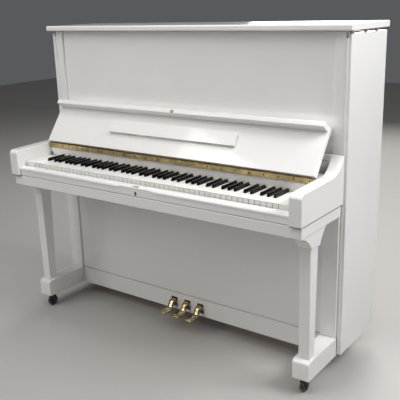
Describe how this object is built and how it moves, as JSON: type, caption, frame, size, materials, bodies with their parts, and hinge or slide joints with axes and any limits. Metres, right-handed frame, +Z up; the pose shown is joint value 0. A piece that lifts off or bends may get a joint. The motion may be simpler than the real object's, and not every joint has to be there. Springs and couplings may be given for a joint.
{
  "type": "upright piano",
  "caption": "Tall upright piano in a white gloss case, with open fallboard, full keyboard, square legs on toe blocks, brass pedals, brass hinge and black casters.",
  "frame": {"origin": "on the floor, in the middle of the whole piano's box", "axes": "+X to the player's right, -Y towards the player, +Z up"},
  "size_m": [1.49, 0.636, 1.302],
  "materials": {
    "white_gloss": "high-gloss white polyester over board",
    "black_gloss": "polished black",
    "key_white": "satin ivory-white key tops",
    "brass": "polished brass",
    "iron": "bronze-painted iron",
    "steel": "nickelled steel",
    "spruce": "clear-varnished spruce",
    "beech": "plain beech and maple",
    "black_tyre": "black caster tread",
    "bumper": "clear soft bumpers",
    "felt": "pressed wool felt"
  },
  "bodies": {
    "case": {"action_frame": "beech", "arm_left": "white_gloss", "arm_right": "white_gloss", "back_frame": "beech", "bottom_board": "beech", "bottom_rail": "white_gloss", "caster_forks": "steel", "corbels": "white_gloss", "fallboard_lock": "brass", "iron_plate": "iron", "key_bed": "white_gloss", "key_blocks": "white_gloss", "key_frame": "beech", "key_slip": "white_gloss", "leg_left": "white_gloss", "leg_right": "white_gloss", "lid_bumpers": "bumper", "lid_hinges": "steel", "lower_panel": "white_gloss", "name_board": "white_gloss", "name_board_hinge_leaf": "brass", "side_panel_left": "white_gloss", "side_panel_right": "white_gloss", "soundboard": "spruce", "stiles": "white_gloss", "strings": "steel", "toe_blocks": "white_gloss", "tuning_pins": "steel", "upper_panel": "white_gloss"},
    "lid": {"top_lid": "white_gloss"},
    "fallboard": {"fallboard": "white_gloss", "fallboard_lip": "white_gloss", "fallboard_hinge_leaf": "brass", "lock_strike": "brass"},
    "music_ledge": {"music_ledge": "white_gloss"},
    "lock_bolt": {"lock_bolt": "steel"},
    "black_keys_bass": {"black_keys_bass": "black_gloss"},
    "black_keys_treble": {"black_keys_treble": "black_gloss"},
    "caster_wheel_front_left": {"caster_wheel_front_left": "black_tyre"},
    "caster_wheel_front_right": {"caster_wheel_front_right": "black_tyre"},
    "caster_wheel_rear_left": {"caster_wheel_rear_left": "black_tyre"},
    "caster_wheel_rear_right": {"caster_wheel_rear_right": "black_tyre"},
    "damper_rod": {"damper_rod": "beech"},
    "dampers": {"dampers": "felt"},
    "hammers": {"hammers": "beech"},
    "key_c4": {"key_c4": "key_white"},
    "key_c_sharp4": {"key_c_sharp4": "black_gloss"},
    "key_d4": {"key_d4": "key_white"},
    "key_d_sharp4": {"key_d_sharp4": "black_gloss"},
    "muffler_rail": {"muffler_rail": "felt"},
    "muffler_rod": {"muffler_rod": "beech"},
    "pedal_left": {"pedal_left": "brass"},
    "pedal_middle": {"pedal_middle": "brass"},
    "pedal_right": {"pedal_right": "brass"},
    "soft_rod": {"soft_rod": "beech"},
    "trap_lever_left": {"trap_lever_left": "beech"},
    "trap_lever_middle": {"trap_lever_middle": "beech"},
    "trap_lever_right": {"trap_lever_right": "beech"},
    "white_keys_bass": {"white_keys_bass": "key_white"},
    "white_keys_treble": {"white_keys_treble": "key_white"}
  },
  "joints": [
    {"name": "lid_hinge", "type": "hinge", "parent": "case", "child": "lid", "pos_m": [0, 0.315, 1.28], "axis": [-1, 0, 0], "range_deg": [0, 100]},
    {"name": "fallboard_hinge", "type": "hinge", "parent": "case", "child": "fallboard", "pos_m": [0, -0.125, 0.791], "axis": [-1, 0, 0], "range_deg": [-133, 0]},
    {"name": "music_ledge_hinge", "type": "hinge", "parent": "fallboard", "child": "music_ledge", "pos_m": [0, -0.09135, 0.85926], "axis": [1, 0, 0], "range_deg": [0, 90]},
    {"name": "lock_bolt_slide", "type": "slide", "parent": "case", "child": "lock_bolt", "axis": [0, 0, 1], "range_m": [0, 0.008]},
    {"name": "black_keys_bass_press", "type": "hinge", "parent": "case", "child": "black_keys_bass", "pos_m": [0, -0.067, 0.7075], "axis": [1, 0, 0], "range_deg": [0, 2.8], "stiffness_Nm_per_rad": 32, "springref_deg": -5.73},
    {"name": "black_keys_treble_press", "type": "hinge", "parent": "case", "child": "black_keys_treble", "pos_m": [0, -0.067, 0.7075], "axis": [1, 0, 0], "range_deg": [0, 2.8], "stiffness_Nm_per_rad": 36, "springref_deg": -5.73},
    {"name": "key_c4_press", "type": "hinge", "parent": "case", "child": "key_c4", "pos_m": [0, -0.067, 0.7075], "axis": [1, 0, 0], "range_deg": [0, 2.8], "stiffness_Nm_per_rad": 2, "springref_deg": -5.73},
    {"name": "key_c_sharp4_press", "type": "hinge", "parent": "case", "child": "key_c_sharp4", "pos_m": [0, -0.067, 0.7075], "axis": [1, 0, 0], "range_deg": [0, 2.8], "stiffness_Nm_per_rad": 2, "springref_deg": -5.73},
    {"name": "key_d4_press", "type": "hinge", "parent": "case", "child": "key_d4", "pos_m": [0, -0.067, 0.7075], "axis": [1, 0, 0], "range_deg": [0, 2.8], "stiffness_Nm_per_rad": 2, "springref_deg": -5.73},
    {"name": "key_d_sharp4_press", "type": "hinge", "parent": "case", "child": "key_d_sharp4", "pos_m": [0, -0.067, 0.7075], "axis": [1, 0, 0], "range_deg": [0, 2.8], "stiffness_Nm_per_rad": 2, "springref_deg": -5.73},
    {"name": "white_keys_bass_press", "type": "hinge", "parent": "case", "child": "white_keys_bass", "pos_m": [0, -0.067, 0.7075], "axis": [1, 0, 0], "range_deg": [0, 2.8], "stiffness_Nm_per_rad": 46, "springref_deg": -5.73},
    {"name": "white_keys_treble_press", "type": "hinge", "parent": "case", "child": "white_keys_treble", "pos_m": [0, -0.067, 0.7075], "axis": [1, 0, 0], "range_deg": [0, 2.8], "stiffness_Nm_per_rad": 54, "springref_deg": -5.73},
    {"name": "pedal_left_press", "type": "hinge", "parent": "case", "child": "pedal_left", "pos_m": [-0.072, 0.168, 0.104], "axis": [1, 0, 0], "range_deg": [0, 6.5], "stiffness_Nm_per_rad": 60, "springref_deg": -11.46},
    {"name": "pedal_middle_press", "type": "hinge", "parent": "case", "child": "pedal_middle", "pos_m": [0, 0.168, 0.104], "axis": [1, 0, 0], "range_deg": [0, 6.5], "stiffness_Nm_per_rad": 60, "springref_deg": -11.46},
    {"name": "pedal_right_press", "type": "hinge", "parent": "case", "child": "pedal_right", "pos_m": [0.072, 0.168, 0.104], "axis": [1, 0, 0], "range_deg": [0, 6.5], "stiffness_Nm_per_rad": 60, "springref_deg": -11.46},
    {"name": "trap_lever_left_tilt", "type": "hinge", "parent": "case", "child": "trap_lever_left", "pos_m": [-0.3635, 0.042, 0.162], "axis": [0, 1, 0], "range_deg": [0, 3.2]},
    {"name": "soft_rod_lift", "type": "slide", "parent": "case", "child": "soft_rod", "axis": [0, 0, 1], "range_m": [0, 0.015]},
    {"name": "trap_lever_middle_tilt", "type": "hinge", "parent": "case", "child": "trap_lever_middle", "pos_m": [-0.3275, 0.072, 0.162], "axis": [0, 1, 0], "range_deg": [0, 3.2]},
    {"name": "muffler_rod_lift", "type": "slide", "parent": "case", "child": "muffler_rod", "axis": [0, 0, 1], "range_m": [0, 0.015]},
    {"name": "trap_lever_right_tilt", "type": "hinge", "parent": "case", "child": "trap_lever_right", "pos_m": [-0.2915, 0.102, 0.162], "axis": [0, 1, 0], "range_deg": [0, 3.2]},
    {"name": "damper_rod_lift", "type": "slide", "parent": "case", "child": "damper_rod", "axis": [0, 0, 1], "range_m": [0, 0.015]},
    {"name": "hammers_advance", "type": "hinge", "parent": "case", "child": "hammers", "pos_m": [0, 0.137, 0.88], "axis": [-1, 0, 0], "range_deg": [0, 5.2]},
    {"name": "muffler_rail_drop", "type": "slide", "parent": "case", "child": "muffler_rail", "axis": [0, 0, -1], "range_m": [0, 0.025]},
    {"name": "dampers_lift", "type": "hinge", "parent": "case", "child": "dampers", "pos_m": [0, 0.166, 0.85], "axis": [1, 0, 0], "range_deg": [0, 4.6]},
    {"name": "caster_wheel_front_left_roll", "type": "hinge", "parent": "case", "child": "caster_wheel_front_left", "pos_m": [-0.68, -0.192, 0.024], "axis": [1, 0, 0], "continuous": true},
    {"name": "caster_wheel_front_right_roll", "type": "hinge", "parent": "case", "child": "caster_wheel_front_right", "pos_m": [0.68, -0.192, 0.024], "axis": [1, 0, 0], "continuous": true},
    {"name": "caster_wheel_rear_left_roll", "type": "hinge", "parent": "case", "child": "caster_wheel_rear_left", "pos_m": [-0.64, 0.242, 0.024], "axis": [1, 0, 0], "continuous": true},
    {"name": "caster_wheel_rear_right_roll", "type": "hinge", "parent": "case", "child": "caster_wheel_rear_right", "pos_m": [0.64, 0.242, 0.024], "axis": [1, 0, 0], "continuous": true}
  ],
  "couplings": [
    {"joint": "trap_lever_left_tilt", "follows": "pedal_left_press", "ratio": 0.4322},
    {"joint": "soft_rod_lift", "follows": "pedal_left_press", "m_per_rad": 0.126},
    {"joint": "trap_lever_middle_tilt", "follows": "pedal_middle_press", "ratio": 0.2931},
    {"joint": "muffler_rod_lift", "follows": "pedal_middle_press", "m_per_rad": 0.096},
    {"joint": "trap_lever_right_tilt", "follows": "pedal_right_press", "ratio": 0.1816},
    {"joint": "damper_rod_lift", "follows": "pedal_right_press", "m_per_rad": 0.066},
    {"joint": "hammers_advance", "follows": "pedal_left_press", "ratio": 0.77},
    {"joint": "muffler_rail_drop", "follows": "pedal_middle_press", "m_per_rad": 0.22},
    {"joint": "dampers_lift", "follows": "pedal_right_press", "ratio": 0.69}
  ]
}
